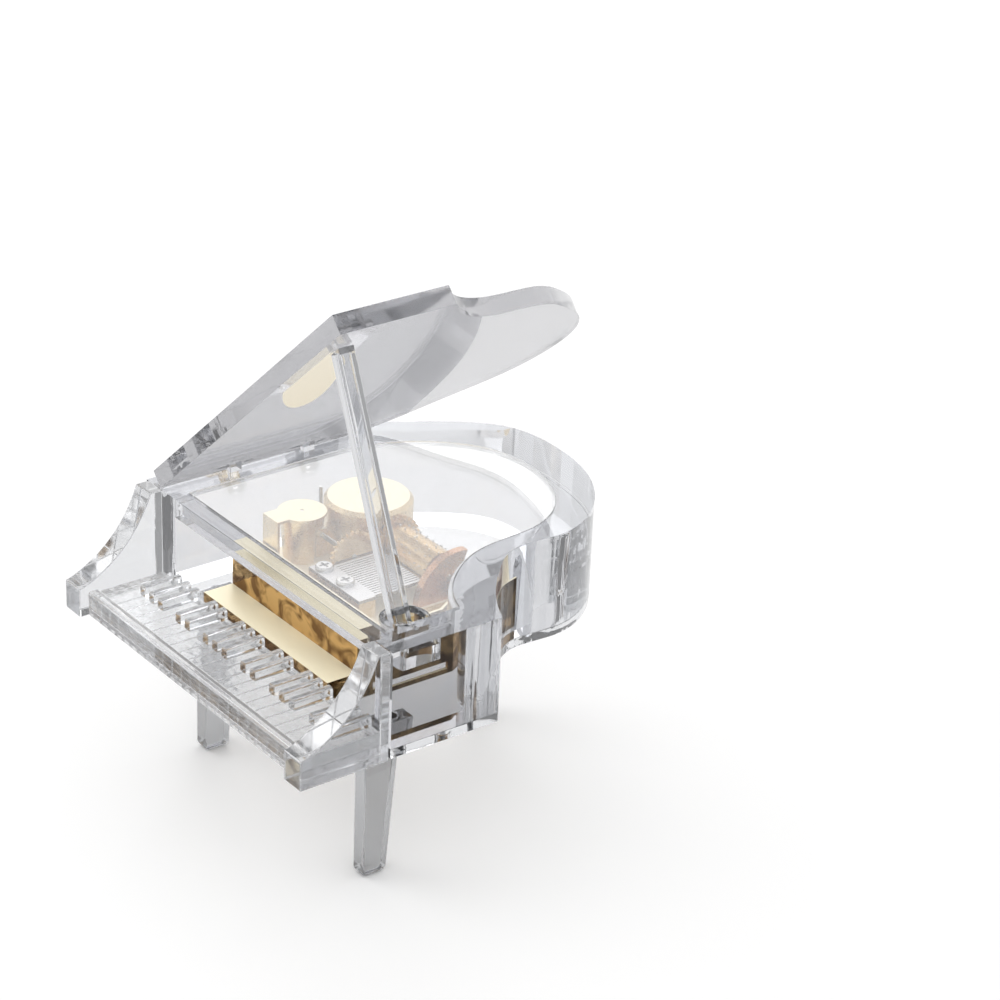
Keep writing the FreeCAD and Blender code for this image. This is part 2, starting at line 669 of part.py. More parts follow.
def spring_housing():
    """Gold drum over the mainspring, open on the side where the cylinder pinion comes in."""
    body = doc.addObject("PartDesign::Body", "housing_drum")
    half = new_sketch(body, "housing_half", "XZ_Plane", "-1 * cylinder_y")
    inner = "barrel_x + barrel_radius - 0.8"
    draw(half, [("barrel_x + 1.45", "barrel_top"), ("barrel_x + barrel_radius - 1", "barrel_top"),
                ("barrel_x + barrel_radius", "barrel_top - 1"), ("barrel_x + barrel_radius", "bed_top"),
                (inner, "bed_top"), (inner, "barrel_top - 1.1"),
                ("barrel_x + barrel_radius - 1.3", "barrel_top - 0.8"),
                ("barrel_x + 1.45", "barrel_top - 0.8")])
    axis = half.addGeometry(Part.LineSegment(Vector(amount("barrel_x"), 50, 0),
                                             Vector(amount("barrel_x"), 60, 0)), True)
    pin_point(half, axis, 1, "barrel_x", 50)
    pin_point(half, axis, 2, "barrel_x", 60)
    turned = body.newObject("PartDesign::Revolution", "housing_turned")
    turned.Profile = half
    turned.ReferenceAxis = (half, ["Axis0"])
    turned.Angle = 360
    window = block("housing_window", (-12.5, "cylinder_y - 4.4", "bed_top - 1"), (6, 8.8, 11.6))
    return node(cut("spring_housing", body, [window]), "spring_housing")


def mainspring():
    """Steel ribbon wound in a flat spiral inside the drum."""
    floor, top = 60.4, 69.2
    start, pitch, turns, ribbon = 2.4, 1.1, 4.2, 0.32
    steps = 26
    outer, inner = [], []
    for step in range(int(turns * steps) + 1):
        angle = 2 * math.pi * step / steps
        radius = start + pitch * angle / (2 * math.pi)
        direction = Vector(math.cos(angle), math.sin(angle), 0)
        outer.append(direction * (radius + ribbon))
        inner.append(direction * radius)
    centre = Vector(amount("barrel_x"), amount("cylinder_y"), floor)
    curves = []
    for points in (outer, inner):
        curve = Part.BSplineCurve()
        curve.interpolate(Points=[point + centre for point in points])
        curves.append(curve.toShape())
    ends = [Part.LineSegment(outer[index] + centre, inner[index] + centre).toShape() for index in (0, -1)]
    ribbon_face = Part.Face(Part.Wire(Part.__sortEdges__(curves + ends)))
    return node(feature("mainspring", ribbon_face.extrude(Vector(0, 0, top - floor))), "mainspring")


def spring_arbor():
    """Steel shaft from the winding key up through the spring."""
    return node(rod("spring_arbor", ("barrel_x", "cylinder_y", 34), "z", 1.4, "barrel_top - 34.2"), "spring_arbor")


def winding_key():
    """Butterfly key below the case."""
    x, y = amount("barrel_x"), amount("cylinder_y")
    hub = Part.makeCylinder(2.5, 8.0, Vector(x, y, 34.4))
    wings = []
    for side in (-1, 1):
        disc = Part.makeCylinder(4.4, 1.8, Vector(x + side * 5.2, y + 0.9, 32.0), Vector(0, -1, 0))
        hole = Part.makeCylinder(2.1, 4.0, Vector(x + side * 5.2, y + 2.0, 32.0), Vector(0, -1, 0))
        wings.append(disc.cut(hole))
    bridge = Part.makeBox(6.4, 1.8, 5.0, Vector(x - 3.2, y - 0.9, 31.4))
    key = hub.fuse(wings + [bridge])
    bore = Part.makeCylinder(1.42, 12.0, Vector(x, y, 34.0))
    return node(feature("winding_key", key.cut(bore).removeSplitter()), "winding_key")


def great_wheel():
    """Crown wheel on the spring arbor; its teeth stand up towards the cylinder pinion."""
    teeth = int(amount("crown_teeth"))
    pitch_radius = amount("gear_module") * teeth / 2
    pinion_radius = amount("gear_module * pinion_teeth / 2")
    pitch_plane = amount("cylinder_z") - pinion_radius
    disc_floor, disc_top = pitch_plane - 1.9, pitch_plane - 0.75
    disc = Part.makeCylinder(pitch_radius + 0.9, disc_top - disc_floor, Vector(0, 0, disc_floor))
    solids = [Part.makeCylinder(2.6, 1.6, Vector(0, 0, disc_floor - 0.7))]
    for number in range(teeth):
        tooth = Part.makeBox(1.7, 0.56, pitch_plane + 0.3 - disc_top + 0.1,
                             Vector(pitch_radius - 0.85, -0.28, disc_top - 0.1))
        tooth.rotate(Vector(), Z_AXIS, 360.0 * number / teeth)
        solids.append(tooth)
    wheel = disc.fuse(solids).cut(Part.makeCylinder(1.42, 10, Vector(0, 0, disc_floor - 2)))
    wheel.translate(Vector(amount("barrel_x"), amount("cylinder_y"), 0))
    return node(feature("great_wheel", wheel.removeSplitter()), "great_wheel")


def on_cylinder_axis(shape, x):
    """Move a wheel made at the origin to a place along the cylinder's axis."""
    shape.translate(Vector(x, amount("cylinder_y"), amount("cylinder_z")))
    return shape


def cylinder():
    """Hollow brass cylinder with closed ends."""
    left, right = amount("cylinder_left"), amount("cylinder_right")
    radius = amount("cylinder_radius")
    shell = Part.makeCylinder(radius, right - left, Vector(), X_AXIS)
    shell = shell.cut(Part.makeCylinder(radius - 0.7, right - left - 1.6, Vector(0.8, 0, 0), X_AXIS))
    shell = shell.cut(Part.makeCylinder(amount("shaft_radius") + 0.02, 40, Vector(-5, 0, 0), X_AXIS))
    return node(feature("cylinder", on_cylinder_axis(shell, left)), "cylinder")


def cylinder_pins():
    """Tune pins: for each note a few short pins round the cylinder, at pseudo-random steps."""
    pitch = (amount("comb_right") - amount("comb_left")) / amount("note_count")
    base = amount("cylinder_radius")
    pins = []
    for note in range(int(amount("note_count"))):
        x = amount("comb_left") + (note + 0.5) * pitch
        for beat in range(5):
            turn = 360.0 * ((note * 7 + beat * 11 + (note * beat) % 5) % 48) / 48
            pin = Part.makeCylinder(0.2, 0.42, Vector(0, 0, base), Z_AXIS)
            pin.rotate(Vector(), X_AXIS, turn)
            pin.translate(Vector(x, amount("cylinder_y"), amount("cylinder_z")))
            pins.append(pin)
    return node(feature("cylinder_pins", Part.makeCompound(pins)), "cylinder_pins")


def cylinder_shaft():
    """Steel shaft that carries the cylinder, its gear and its pinion."""
    shaft = rod("cylinder_shaft", (-11.3, "cylinder_y", "cylinder_z"), "x", "shaft_radius", "bed_right + 10.9")
    return node(shaft, "cylinder_shaft")


def cylinder_gear():
    """Gear beside the cylinder that drives the third wheel; one tooth points to the front."""
    disc = toothed_disc(int(amount("cylinder_teeth")), amount("shaft_radius"), math.pi, amount("wheel_wide"))
    return node(feature("cylinder_gear", on_cylinder_axis(disc, amount("wheel_left"))), "cylinder_gear")


def cylinder_pinion():
    """Pinion that the great wheel turns; a gap of it points down."""
    teeth = int(amount("pinion_teeth"))
    phase = -math.pi / 2 + math.pi / teeth
    disc = toothed_disc(teeth, amount("shaft_radius"), phase, 1.7)
    return node(feature("cylinder_pinion", on_cylinder_axis(disc, -10.75)), "cylinder_pinion")


def third_arbor():
    """Steel arbor of the third wheel and the worm wheel."""
    y, z = third_place()
    return node(rod("third_arbor", (-24.6, y, z), "x", 0.7, 18.9), "third_arbor")


def third_wheel():
    """Wheel driven by the cylinder gear; a gap of it points to the back."""
    teeth = int(amount("third_teeth"))
    y, z = third_place()
    disc = toothed_disc(teeth, 0.7, math.pi / teeth, amount("wheel_wide"))
    disc.translate(Vector(amount("wheel_left"), y, z))
    return node(feature("third_wheel", disc), "third_wheel")


def worm_wheel():
    """Small wheel that drives the governor's worm."""
    y, z = third_place()
    points = []
    for corner in range(24):
        radius = 1.9 if corner % 2 else 1.5
        angle = math.pi * corner / 12
        points.append(Vector(0, radius * math.cos(angle), radius * math.sin(angle)))
    disc = Part.Face(Part.makePolygon(points + points[:1])).extrude(Vector(1.5, 0, 0))
    disc = disc.cut(Part.makeCylinder(0.72, 4, Vector(-1, 0, 0), X_AXIS))
    disc.translate(Vector(amount("governor_x") - 0.75, y, z))
    return node(feature("worm_wheel", disc), "worm_wheel")


def upright(label, left, thick, corners, bore_y, bore_z, bore):
    """A bearing plate across the x axis with one bore."""
    body = doc.addObject("PartDesign::Body", label)
    profile = new_sketch(body, label + "_profile", "YZ_Plane", left)
    draw(profile, corners)
    pad(body, profile, thick)
    hole = new_sketch(body, label + "_bore", "YZ_Plane", left)
    circle(hole, bore_y, bore_z, bore)
    pocket(body, hole)
    return node(body, label)


def left_bearing():
    """Bearing plate between the cylinder gear and its pinion."""
    corners = [("cylinder_y - 3.4", "bed_top"), ("cylinder_y + 3.4", "bed_top"),
               ("cylinder_y + 1.8", "cylinder_z + 1.9"), ("cylinder_y - 1.8", "cylinder_z + 1.9")]
    return upright("left_bearing", -8.6, 0.7, corners, "cylinder_y", "cylinder_z", "shaft_radius + 0.05")


def right_bearing():
    """Broad curved bearing at the treble end of the cylinder."""
    body = doc.addObject("PartDesign::Body", "right_bearing")
    profile = new_sketch(body, "right_bearing_profile", "YZ_Plane", 14.3)
    low, high = amount("bed_top"), 68.6
    back = Part.Arc(Vector(35.6, low, 0), Vector(39.4, 65.2, 0), Vector(50.6, high, 0))
    draw(profile, [(50.6, high), (48.4, 63.0), (48.4, "bed_top"), (35.6, "bed_top")], back)
    pad(body, profile, 2.2)
    hole = new_sketch(body, "right_bearing_bore", "YZ_Plane", 14.3)
    circle(hole, "cylinder_y", "cylinder_z", "shaft_radius + 0.05")
    pocket(body, hole)
    return node(body, "right_bearing")


def third_bearings():
    """Two bearing plates of the third arbor."""
    y, z = third_place()
    plates = []
    for left in (-9.2, -20.9):
        plate = Part.makeBox(0.8, 3.6, z + 1.6 - amount("bed_top"), Vector(left, y - 2.0, amount("bed_top")))
        plates.append(plate.cut(Part.makeCylinder(0.75, 3, Vector(left - 1, y, z), X_AXIS)))
    return node(feature("third_bearings", Part.makeCompound(plates)), "third_bearings")


def comb_base():
    """Raised gold block under the comb's heel."""
    base = block("comb_base_block", (-8.2, "comb_front", "bed_top"),
                 (22.2, "comb_heel - comb_front - 0.1", "comb_top - comb_thick - bed_top"))
    holes = [rod(f"comb_base_hole_{number}", (x, 21.7, "bed_top - 1"), "z", 0.9, 8)
             for number, x in enumerate(COMB_SCREWS)]
    return node(cut("comb_base", base, holes), "comb_base")


def comb():
    """Steel comb: a heel with two screw holes and eighteen tuned teeth."""
    body = doc.addObject("PartDesign::Body", "comb")
    plan = new_sketch(body, "comb_plan", "XY_Plane", "comb_top - comb_thick")
    draw(plan, [(-8.2, "comb_front"), (14.0, "comb_front"), (14.0, "comb_heel"), ("comb_right", "comb_heel"),
                ("comb_right", "comb_tip"), ("comb_left", "comb_tip"), ("comb_left", "comb_heel"),
                (-8.2, "comb_heel")])
    pad(body, plan, "comb_thick")
    holes = new_sketch(body, "comb_holes", "XY_Plane", "comb_top")
    for x in COMB_SCREWS:
        circle(holes, x, 21.7, 0.9)
    pocket(body, holes)
    pitch = amount("comb_right - comb_left") / amount("note_count")
    first = amount("comb_left") + pitch
    slot = new_sketch(body, "comb_slot", "XY_Plane", "comb_top")
    draw(slot, [(first - 0.17, "comb_heel + 0.6"), (first + 0.17, "comb_heel + 0.6"),
                (first + 0.17, "comb_tip + 1"), (first - 0.17, "comb_tip + 1")])
    cutter = pocket(body, slot)
    pattern = body.newObject("PartDesign::LinearPattern", "comb_pattern")
    pattern.Originals = [cutter]
    pattern.Direction = (slot, ["H_Axis"])
    pattern.Length = pitch * (amount("note_count") - 2)
    pattern.Occurrences = int(amount("note_count")) - 1
    body.Tip = pattern
    return node(body, "comb")


def comb_screws():
    """Cross-head screws of the comb."""
    screws = []
    top = amount("comb_top")
    for x in COMB_SCREWS:
        head = Part.makeCylinder(2.4, 1.3, Vector(x, 21.7, top))
        head = head.makeFillet(0.5, [edge for edge in head.Edges if edge.BoundBox.ZMin > top + 1.2])
        for length, width in ((2.8, 0.7), (0.7, 2.8)):
            corner = Vector(x - length / 2, 21.7 - width / 2, top + 0.6)
            head = head.cut(Part.makeBox(length, width, 2, corner))
        screws.append(head.fuse(Part.makeCylinder(0.87, 4.4, Vector(x, 21.7, top - 4.4))))
    return node(feature("comb_screws", Part.makeCompound(screws)), "comb_screws")


def governor_cover():
    """Gold cover over the air brake: a round top, a tapering skirt and a foot at the front."""
    x, y, top = amount("governor_x"), amount("governor_y"), amount("governor_top")
    radius = amount("governor_radius")
    low = amount("bed_top")
    skirt = Part.makeCone(radius - 1.6, radius - 0.5, top - 0.7 - low, Vector(x, y, low))
    inner = Part.makeCone(radius - 2.3, radius - 1.2, top - 0.7 - low, Vector(x, y, low))
    cap = Part.makeCylinder(radius, 0.7, Vector(x, y, top - 0.7))
    tab = Part.makeBox(6.8, 9.3, 0.7, Vector(x - 4.1, y - 9.3, top - 0.7))
    foot = Part.makeBox(6.8, 0.7, top - low, Vector(x - 4.1, y - 9.3, low))
    cover = skirt.cut(inner).fuse([cap, tab, foot])
    cover = cover.cut(inner)
    window = Part.makeBox(14.0, 8.0, 10.2, Vector(x - 3.0, y + 0.6, low - 1))
    cover = cover.cut(window)
    cover = cover.cut(Part.makeCylinder(0.55, 4, Vector(x, y, top - 2)))
    return node(feature("governor_cover", cover.removeSplitter()), "governor_cover")


def governor_spindle():
    """Steel spindle with the worm's rings."""
    x, y = amount("governor_x"), amount("governor_y")
    low = amount("bed_top")
    solids = []
    for ring in range(7):
        height = 59.3 + 0.8 * ring
        lower = Part.makeCone(1.5, 2.3, 0.35, Vector(x, y, height))
        upper = Part.makeCone(2.3, 1.5, 0.35, Vector(x, y, height + 0.35))
        solids += [lower, upper]
    core = Part.makeCylinder(1.5, 6.2, Vector(x, y, 59.0))
    shaft = Part.makeCylinder(0.45, amount("governor_top") + 1.1 - low, Vector(x, y, low - 1.2))
    return node(feature("governor_spindle", shaft.fuse(solids + [core]).removeSplitter()), "governor_spindle")


def air_brake():
    """Two vanes on a small disc that spin under the governor cover."""
    x, y = amount("governor_x"), amount("governor_y")
    disc = Part.makeCylinder(1.6, 0.6, Vector(x, y, 65.8))
    vane = Part.makeBox(8.2, 0.4, 2.0, Vector(x - 4.1, y - 0.2, 66.2))
    brake = disc.fuse(vane).cut(Part.makeCylinder(0.47, 6, Vector(x, y, 64)))
    return node(feature("air_brake", brake), "air_brake")


def stop_lever():
    """Steel lever on an upright wire beside the governor; swung in, its arm stops the air brake."""
    x, y = STOP_PLACE
    low = amount("bed_top")
    post = Part.makeCylinder(0.5, 71.2 - low + 1.2, Vector(x, y, low - 1.2))
    arm = Part.makeBox(0.6, 4.6, 0.6, Vector(x - 0.3, y - 4.9, 64.2))
    arm.rotate(Vector(x, y, 0), Z_AXIS, 28)
    return node(feature("stop_lever", post.fuse(arm)), "stop_lever")


BLACK_PLACES = (2, 3, 4, 6, 7, 9, 10, 11, 13, 14, 16, 17, 18, 20, 21)
SCREW_PLACES = ((-26.5, 57.0), (14.5, 56.0), (-11.5, 20.4))
COMB_SCREWS = (-4.9, 4.4)
STOP_PLACE = (-28.9, 36.9)
LEG_PLACES = {
    "leg_front_left": ("-1 * leg_spread", "leg_front", "leg_head"),
    "leg_front_right": ("leg_spread", "leg_front", "leg_head"),
    "leg_rear": ("rear_leg_x", "rear_leg_front", "rear_leg_head"),
}


def build():
    """Make every sub-part."""
    fill_sheet()
    case_body()
    bottom_plate()
    top_cover()
    keybed()
    white_keys()
    black_keys()
    key_slip()
    cheek("cheek_left", -1)
    cheek("cheek_right", 1)
    movement_box()
    lid()
    lid_hinge_pins()
    prop_stick()
    prop_pin()
    for label, (x, front, head) in LEG_PLACES.items():
        leg(label, x, front, head)
    for maker in (bedplate, spacers, movement_screws, spring_housing, mainspring, spring_arbor, winding_key,
                  great_wheel, cylinder, cylinder_pins, cylinder_shaft, cylinder_gear, cylinder_pinion,
                  third_arbor, third_wheel, worm_wheel, left_bearing, right_bearing, third_bearings,
                  comb_base, comb, comb_screws, governor_cover, governor_spindle, air_brake, stop_lever):
        maker()
    doc.recompute()


def write_parts():
    """Check every object, then write one STEP file for each sub-part."""
    for thing in doc.Objects:
        if "Invalid" in thing.State or "Error" in thing.State:
            raise RuntimeError(f"{thing.Label}: {thing.State}")
    for thing in nodes:
        if thing.Shape.isNull() or not thing.Shape.isValid():
            raise RuntimeError(f"{thing.Label}: bad shape")
    os.makedirs("parts", exist_ok=True)
    for thing in nodes:
        shape = thing.Shape.copy()
        shape.translate(Vector(0, -amount("centre_y"), 0))
        shape.exportStep(f"parts/{thing.Label}.step")
        box = shape.BoundBox
        print(f"{thing.Label:18} {thing.Shape.Volume:9.1f} mm3  z {box.ZMin:6.1f} to {box.ZMax:6.1f}")


build()
write_parts()
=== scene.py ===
import json
import math
import bpy
from mathutils import Matrix, Vector


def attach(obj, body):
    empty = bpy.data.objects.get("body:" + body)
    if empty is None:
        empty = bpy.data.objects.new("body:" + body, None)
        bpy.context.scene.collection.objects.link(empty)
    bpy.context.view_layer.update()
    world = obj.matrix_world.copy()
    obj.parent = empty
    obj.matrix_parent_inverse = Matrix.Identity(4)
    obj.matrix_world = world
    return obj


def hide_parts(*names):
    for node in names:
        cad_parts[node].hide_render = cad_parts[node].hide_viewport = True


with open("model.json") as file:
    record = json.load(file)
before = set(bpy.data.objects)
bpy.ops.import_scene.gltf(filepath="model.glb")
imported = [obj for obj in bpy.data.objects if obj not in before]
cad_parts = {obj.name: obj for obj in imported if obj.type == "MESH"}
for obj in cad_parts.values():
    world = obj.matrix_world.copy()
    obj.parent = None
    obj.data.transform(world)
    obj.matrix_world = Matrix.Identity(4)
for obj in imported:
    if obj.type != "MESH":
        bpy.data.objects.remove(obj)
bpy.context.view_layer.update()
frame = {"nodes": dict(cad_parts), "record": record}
bpy.ops.object.select_all(action='DESELECT')
mm = 0.001
backShift = 39.936  # the drawing's zero is this far in front of the middle of the box


def at(x, y, z):
    # drawing millimetres to scene metres
    return Vector((x * mm, (y - backShift) * mm, z * mm))


def srgb(hexColour, alpha=1.0):
    channels = [int(hexColour[i:i + 2], 16) / 255 for i in (1, 3, 5)]
    return [c / 12.92 if c <= 0.04045 else ((c + 0.055) / 1.055) ** 2.4 for c in channels] + [alpha]


def addNode(tree, kind, feeds=None, **settings):
    # feeds gives sockets an output or a plain value; settings name sockets or the node's own options
    node = tree.nodes.new(kind)
    for name, value in settings.items():
        socketName = name.replace('_', ' ')
        if socketName in node.inputs:
            node.inputs[socketName].default_value = value
        else:
            setattr(node, name, value)
    for socket, source in (feeds or {}).items():
        if isinstance(source, bpy.types.NodeSocket):
            tree.links.new(source, node.inputs[socket])
        else:
            node.inputs[socket].default_value = source
    return node


def newMaterial(name):
    material = bpy.data.materials.new(name)
    material.use_nodes = True
    tree = material.node_tree
    tree.nodes.clear()
    output = addNode(tree, 'ShaderNodeOutputMaterial')
    return material, tree, output


bodyOf = {}
for bodyName, members in frame['record']['behaviour']['bodies'].items():
    for member in members:
        bodyOf[member] = bodyName

# flats in a broken edge, and the turns in degrees that count as one flat face, an edge and a smooth curve
softness = dict(segments=3, flatDegrees=0.8, edgeDegrees=28, smoothDegrees=42, mergeMm=0.004)


def softCopy(nodeName, width, inset=0.0):
    # a CAD node's copy, merged into clean faces, with its edges broken by a small bevel
    source = frame['nodes'][nodeName]
    piece = source.copy()
    piece.data = source.data.copy()
    piece.name = nodeName + 'Soft'
    bpy.context.collection.objects.link(piece)
    bpy.ops.object.select_all(action='DESELECT')
    bpy.context.view_layer.objects.active = piece
    piece.select_set(True)
    bpy.ops.object.mode_set(mode='EDIT')
    bpy.ops.mesh.select_all(action='SELECT')
    bpy.ops.mesh.remove_doubles(threshold=softness['mergeMm'] * mm)
    bpy.ops.mesh.dissolve_limited(angle_limit=math.radians(softness['flatDegrees']))
    if inset:
        bpy.ops.mesh.select_all(action='SELECT')
        bpy.ops.transform.shrink_fatten(value=inset * mm, use_even_offset=True)
    bpy.ops.object.mode_set(mode='OBJECT')
    if width:
        bevel = piece.modifiers.new('brokenEdges', 'BEVEL')
        bevel.width = width * mm
        bevel.segments = softness['segments']
        bevel.limit_method = 'ANGLE'
        bevel.angle_limit = math.radians(softness['edgeDegrees'])
        bpy.ops.object.modifier_apply(modifier='brokenEdges')
    bpy.ops.object.shade_smooth_by_angle(angle=math.radians(softness['smoothDegrees']))
    even = piece.modifiers.new('flatFacesStayFlat', 'WEIGHTED_NORMAL')
    even.keep_sharp = True
    bpy.ops.object.modifier_apply(modifier='flatFacesStayFlat')
    piece.select_set(False)
    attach(piece, bodyOf[nodeName])
    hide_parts(nodeName)
    return piece


def paint(obj, material):
    obj.data.materials.clear()
    obj.data.materials.append(material)


# how it bends light, the polishing waves' detail and height, and the spacing, range and swing of the haze
clearLook = dict(ior=1.49, waveDetail=1.5, waveSoftness=0.4, heightMm=0.3, wipeMm=2.2, hazeFrom=0.3,
                 hazeTo=0.8, hazeSwing=2.6)
# scene millimetres between which the saw marks fade in along an axis, then their spacing, run and depth
sawnEnd = dict(patch=(('X', 30.0, 33.0), ('Y', -18.5, -16.5), ('Y', -6.5, -8.5)), markMm=2.2, stretch=0.15,
               depth=12.0)
# how squarely a face looks forward where the round cells fade in and are full, and how deep they look
keyCells = dict(fadeIn=-0.8, full=-0.95, depth=9.0)


def clearAcrylic(name, tint, waveDepth=0.012, roughness=0.004, waveMm=9.0, sawn=False, cellMm=0.0):
    # polished clear acrylic: sharp highlights that bend a little where the polishing wheel left waves
    material, tree, output = newMaterial(name)
    place = addNode(tree, 'ShaderNodeTexCoord')
    waves = addNode(tree, 'ShaderNodeTexNoise', {'Vector': place.outputs['Object']},
                    Scale=1 / (waveMm * mm), Detail=clearLook['waveDetail'],
                    Roughness=clearLook['waveSoftness'])
    height = waves.outputs['Fac']
    if sawn:
        # the rear end of the straight treble wall keeps the upright marks of the saw
        spot = addNode(tree, 'ShaderNodeSeparateXYZ', {'Vector': place.outputs['Object']})
        inside = 1.0
        for axis, fadeIn, full in sawnEnd['patch']:
            ramp = addNode(tree, 'ShaderNodeMapRange', {'Value': spot.outputs[axis]},
                           From_Min=fadeIn * mm, From_Max=full * mm)
            inside = addNode(tree, 'ShaderNodeMath', {0: ramp.outputs['Result'], 1: inside},
                             operation='MULTIPLY').outputs[0]
        tall = addNode(tree, 'ShaderNodeMapping', {'Vector': place.outputs['Object']},
                       Scale=(1.0, 1.0, sawnEnd['stretch']))
        saw = addNode(tree, 'ShaderNodeTexNoise', {'Vector': tall.outputs['Vector']},
                      Scale=1 / (sawnEnd['markMm'] * mm), Detail=1.0)
        marks = addNode(tree, 'ShaderNodeMath', {0: saw.outputs['Fac'], 1: inside}, operation='MULTIPLY')
        height = addNode(tree, 'ShaderNodeMath', {0: marks.outputs[0], 1: sawnEnd['depth'], 2: height},
                         operation='MULTIPLY_ADD').outputs[0]
    if cellMm:
        # the moulded ends of the keys show on the front face as a row of round cells
        facing = addNode(tree, 'ShaderNodeSeparateXYZ', {'Vector': place.outputs['Normal']})
        front = addNode(tree, 'ShaderNodeMapRange', {'Value': facing.outputs['Y']},
                        From_Min=keyCells['fadeIn'], From_Max=keyCells['full'])
        cells = addNode(tree, 'ShaderNodeTexVoronoi', {'Vector': place.outputs['Object']},
                        Scale=1 / (cellMm * mm), Randomness=0.0)
        dome = addNode(tree, 'ShaderNodeMath', {0: cells.outputs['Distance'], 1: front.outputs['Result']},
                       operation='MULTIPLY')
        height = addNode(tree, 'ShaderNodeMath', {0: dome.outputs[0], 1: keyCells['depth'], 2: height},
                         operation='MULTIPLY_ADD').outputs[0]
    wipe = addNode(tree, 'ShaderNodeTexNoise', {'Vector': place.outputs['Object']},
                   Scale=1 / (clearLook['wipeMm'] * mm), Detail=3.0)
    haze = addNode(tree, 'ShaderNodeMapRange', {'Value': wipe.outputs['Fac']},
                   From_Min=clearLook['hazeFrom'], From_Max=clearLook['hazeTo'],
                   To_Min=roughness, To_Max=roughness * clearLook['hazeSwing'])
    bump = addNode(tree, 'ShaderNodeBump', {'Height': height},
                   Strength=waveDepth, Distance=clearLook['heightMm'] * mm)
    shader = addNode(tree, 'ShaderNodeBsdfPrincipled', {'Roughness': haze.outputs['Result'],
                                                        'Normal': bump.outputs['Normal']},
                     Base_Color=srgb(tint), IOR=clearLook['ior'], Transmission_Weight=1.0)
    tree.links.new(shader.outputs['BSDF'], output.inputs['Surface'])
    return material


# the dark grey is painted shade on the sheet's upright sawn edges; the two numbers after it are how level
# a face is where that shade begins and where it is full
coverLook = dict(tint='#fbfbfb', rim='#2e2f31', rimFrom=0.8, rimTo=0.5, clear=0.86, roughness=0.001,
                 wipeMm=3.0, hazeSwing=3.0)


def hazyAcrylic(name):
    # thin extruded acrylic: what is under it stays sharp, behind an even pale veil of fine wiping dust,
    # and a dark grey painted shade on its upright sawn edges draws a thin grey line round it
    material, tree, output = newMaterial(name)
    place = addNode(tree, 'ShaderNodeTexCoord')
    wipe = addNode(tree, 'ShaderNodeTexNoise', {'Vector': place.outputs['Object']},
                   Scale=1 / (coverLook['wipeMm'] * mm), Detail=4.0)
    haze = addNode(tree, 'ShaderNodeMapRange', {'Value': wipe.outputs['Fac']},
                   From_Min=clearLook['hazeFrom'], From_Max=clearLook['hazeTo'],
                   To_Min=coverLook['roughness'], To_Max=coverLook['roughness'] * coverLook['hazeSwing'])
    # painted shade: the upright faces, which are the sheet's sawn edges, are coloured dark grey
    facing = addNode(tree, 'ShaderNodeSeparateXYZ', {'Vector': place.outputs['Normal']})
    upright = addNode(tree, 'ShaderNodeMath', {0: facing.outputs['Z']}, operation='ABSOLUTE')
    rim = addNode(tree, 'ShaderNodeMapRange', {'Value': upright.outputs[0]},
                  From_Min=coverLook['rimFrom'], From_Max=coverLook['rimTo'])
    tone = addNode(tree, 'ShaderNodeMix', {'Factor': rim.outputs['Result'], 'A': srgb(coverLook['tint']),
                                           'B': srgb(coverLook['rim'])}, data_type='RGBA')
    shader = addNode(tree, 'ShaderNodeBsdfPrincipled', {'Roughness': haze.outputs['Result'],
                                                        'Base Color': tone.outputs['Result']},
                     IOR=clearLook['ior'], Transmission_Weight=coverLook['clear'])
    tree.links.new(shader.outputs['BSDF'], output.inputs['Surface'])
    return material


# how far the clouds and the grain range, the shares of the roughness that the grain swings between,
# how squarely up a face is to count as level and take the painted pale top, and the grain's relief
metalLook = dict(cloudFrom=0.4, cloudTo=0.6, grainFrom=0.25, grainTo=0.75, smoothest=0.6, roughest=1.5,
                 levelFrom=0.9, levelFull=0.97, levelRough=0.42, levelShine=0.15, leastReliefMm=0.04,
                 reliefShare=0.03)


